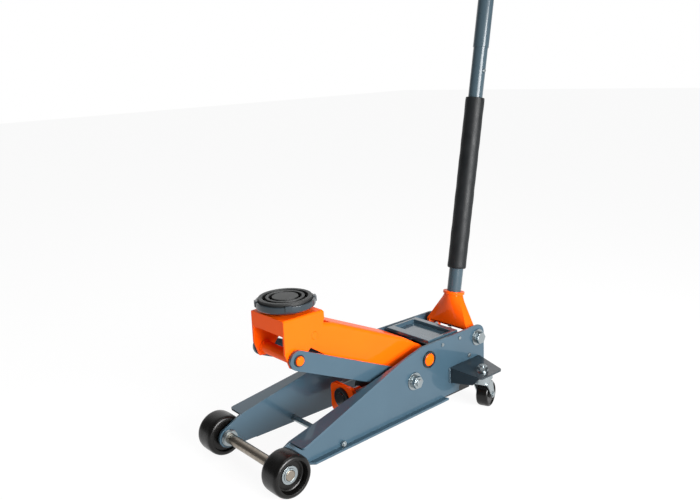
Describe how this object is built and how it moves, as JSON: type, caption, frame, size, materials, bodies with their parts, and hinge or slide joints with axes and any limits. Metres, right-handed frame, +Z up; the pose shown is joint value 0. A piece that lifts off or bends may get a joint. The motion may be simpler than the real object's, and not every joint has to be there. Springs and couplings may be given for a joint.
{
  "type": "trolley jack",
  "caption": "Low hydraulic trolley jack: round rubber saddle on a lift arm, tapered side plates, front wheels, swivel casters, tool tray, long tube handle with foam sleeve.",
  "frame": {"origin": "on the floor, under the middle of the bounding box", "axes": "+X forward towards the saddle end, +Y to the jack's left, +Z up"},
  "size_m": [0.8507, 0.3537, 1.1863],
  "materials": {
    "frame_paint": "glossy blue-grey enamel",
    "orange_paint": "glossy orange enamel",
    "dark_paint": "dark blue-grey enamel",
    "black_paint": "black enamel on cast iron and tube",
    "zinc": "bright zinc plate",
    "chrome": "hard chrome",
    "black_nylon": "moulded black nylon",
    "saddle_rubber": "black rubber",
    "grip_foam": "black closed-cell foam rubber",
    "black_plastic": "black moulded plug"
  },
  "bodies": {
    "frame": {"side_plate_left": "frame_paint", "side_plate_right": "frame_paint", "caster_bracket_left": "dark_paint", "caster_bracket_right": "dark_paint", "front_axle": "zinc", "axle_rings": "zinc", "tie_rod": "zinc", "shaft_bushes": "black_paint", "link_bolts": "zinc", "frame_washers": "zinc", "top_cover": "frame_paint", "cover_screws": "zinc", "power_unit": "black_paint", "cylinder": "black_paint", "cylinder_gland": "black_paint", "spring_anchor": "black_paint", "return_springs": "zinc", "pump_barrel": "zinc", "pump_spring": "zinc", "unit_bolts": "zinc", "yoke_bolts": "zinc", "caster_races": "zinc", "caster_stems": "zinc"},
    "arm": {"lift_arm": "orange_paint", "arm_shaft": "orange_paint", "drive_pins": "zinc", "arm_nose_tube": "orange_paint"},
    "head": {"saddle_bracket": "orange_paint", "head_pin": "orange_paint", "head_cross_tube": "orange_paint", "link_pin": "orange_paint", "link_washers": "zinc"},
    "saddle": {"saddle_dish": "dark_paint", "saddle_pad": "saddle_rubber", "saddle_post": "zinc"},
    "link_left": {"level_link_left": "frame_paint"},
    "link_right": {"level_link_right": "frame_paint"},
    "ram": {"ram": "chrome", "crosshead": "orange_paint", "ram_nut": "black_paint", "pull_bars": "orange_paint"},
    "plunger": {"pump_plunger": "chrome"},
    "yoke": {"handle_yoke": "orange_paint", "roller_pin": "zinc", "pump_roller": "zinc"},
    "handle": {"lower_tube": "frame_paint", "handle_grip": "grip_foam", "upper_tube": "frame_paint", "end_plug": "black_plastic", "release_shaft": "zinc"},
    "detent": {"detent_button": "zinc"},
    "valve": {"release_valve": "zinc"},
    "wheel_left": {"front_wheel_left": "black_nylon"},
    "wheel_right": {"front_wheel_right": "black_nylon"},
    "caster_left": {"caster_fork_left": "zinc", "caster_axle_left": "zinc"},
    "caster_right": {"caster_fork_right": "zinc", "caster_axle_right": "zinc"},
    "caster_wheel_left": {"caster_wheel_left": "black_nylon"},
    "caster_wheel_right": {"caster_wheel_right": "black_nylon"}
  },
  "joints": [
    {"name": "lift", "type": "hinge", "parent": "frame", "child": "arm", "pos_m": [-0.05043, 0, 0.134], "axis": [0, -1, 0], "range_deg": [-34, 32.5]},
    {"name": "saddle_level", "type": "hinge", "parent": "arm", "child": "head", "pos_m": [0.24757, 0, 0.268], "axis": [0, -1, 0], "range_deg": [-32.7, 34.2]},
    {"name": "link_left_swing", "type": "hinge", "parent": "frame", "child": "link_left", "pos_m": [-0.00093, 0, 0.0975], "axis": [0, -1, 0], "range_deg": [-34.2, 32.7]},
    {"name": "link_right_swing", "type": "hinge", "parent": "frame", "child": "link_right", "pos_m": [-0.00093, 0, 0.0975], "axis": [0, -1, 0], "range_deg": [-34.2, 32.7]},
    {"name": "ram_slide", "type": "slide", "parent": "frame", "child": "ram", "axis": [1, 0, 0], "range_m": [-0.04589, 0.04388], "deforming": ["return_springs"]},
    {"name": "saddle_turn", "type": "hinge", "parent": "head", "child": "saddle", "pos_m": [0.27357, 0, 0.316], "axis": [0, 0, 1], "continuous": true},
    {"name": "pump_stroke", "type": "hinge", "parent": "frame", "child": "yoke", "pos_m": [-0.22293, 0, 0.139], "axis": [0, -1, 0], "range_deg": [-6, 50]},
    {"name": "pump_slide", "type": "slide", "parent": "frame", "child": "plunger", "axis": [1, 0, 0], "range_m": [-0.0027, 0.0212], "deforming": ["pump_spring"]},
    {"name": "handle_twist", "type": "hinge", "parent": "yoke", "child": "handle", "pos_m": [-0.2131, 0, 0.14083], "axis": [-0.1831, 0, 0.9831], "range_deg": [-60, 60]},
    {"name": "valve_turn", "type": "hinge", "parent": "frame", "child": "valve", "pos_m": [-0.2131, 0, 0.14083], "axis": [-0.1831, 0, 0.9831], "range_deg": [-60.2, 60.2]},
    {"name": "detent_press", "type": "slide", "parent": "handle", "child": "detent", "axis": [0, -1, 0], "range_m": [0, 0.0028], "stiffness_N_per_m": 600},
    {"name": "wheel_left_spin", "type": "hinge", "parent": "frame", "child": "wheel_left", "pos_m": [0.38157, 0, 0.0438], "axis": [0, 1, 0], "continuous": true},
    {"name": "wheel_right_spin", "type": "hinge", "parent": "frame", "child": "wheel_right", "pos_m": [0.38157, 0, 0.0438], "axis": [0, 1, 0], "continuous": true},
    {"name": "caster_left_swivel", "type": "hinge", "parent": "frame", "child": "caster_left", "pos_m": [-0.15643, 0.15, 0.07], "axis": [0, 0, 1], "continuous": true},
    {"name": "caster_left_spin", "type": "hinge", "parent": "caster_left", "child": "caster_wheel_left", "pos_m": [-0.17545, 0.14382, 0.03], "axis": [-0.309, 0.9511, 0], "continuous": true},
    {"name": "caster_right_swivel", "type": "hinge", "parent": "frame", "child": "caster_right", "pos_m": [-0.15643, -0.15, 0.07], "axis": [0, 0, 1], "continuous": true},
    {"name": "caster_right_spin", "type": "hinge", "parent": "caster_right", "child": "caster_wheel_right", "pos_m": [-0.17545, -0.15618, 0.03], "axis": [-0.309, 0.9511, 0], "continuous": true}
  ],
  "couplings": [
    {"joint": "saddle_level", "follows": "lift", "ratio": -1},
    {"joint": "link_left_swing", "follows": "lift", "ratio": 1},
    {"joint": "link_right_swing", "follows": "lift", "ratio": 1},
    {"joint": "ram_slide", "follows": "lift", "m_per_rad": 0.077},
    {"joint": "pump_slide", "follows": "pump_stroke", "m_per_rad": 0.024},
    {"joint": "valve_turn", "follows": "handle_twist", "ratio": 1}
  ]
}
